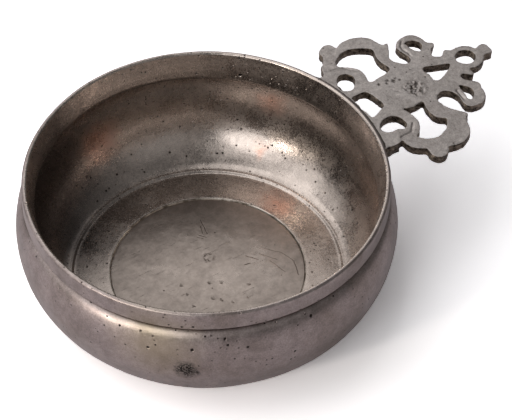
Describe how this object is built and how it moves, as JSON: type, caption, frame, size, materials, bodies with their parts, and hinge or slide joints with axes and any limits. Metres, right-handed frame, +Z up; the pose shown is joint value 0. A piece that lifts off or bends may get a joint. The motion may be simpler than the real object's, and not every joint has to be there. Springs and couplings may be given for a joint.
{
  "type": "porringer",
  "caption": "Shallow round metal bowl with a bellied wall, upright collar and flat floor, held by one pierced scroll ear at the rim with a ring for hanging.",
  "frame": {"origin": "centre of the flat underside, on the bowl's axis, at table level", "axes": "+Z up along the bowl's axis, +X along the ear from the bowl to the ear's tip"},
  "size_m": [0.2002, 0.1412, 0.0528],
  "materials": {
    "bowl_pewter": "aged cast pewter, turned, satin with pits",
    "floor_pewter": "aged pewter sheet, rubbed, with scratches",
    "ear_pewter": "as-cast pewter, filed, matt",
    "solder": "tin solder, scraped flush"
  },
  "bodies": {
    "root": {"bowl_body": "bowl_pewter", "floor_disc": "floor_pewter", "floor_solder": "solder", "ear": "ear_pewter", "ear_bracket": "ear_pewter", "ear_solder": "solder"}
  },
  "joints": []
}
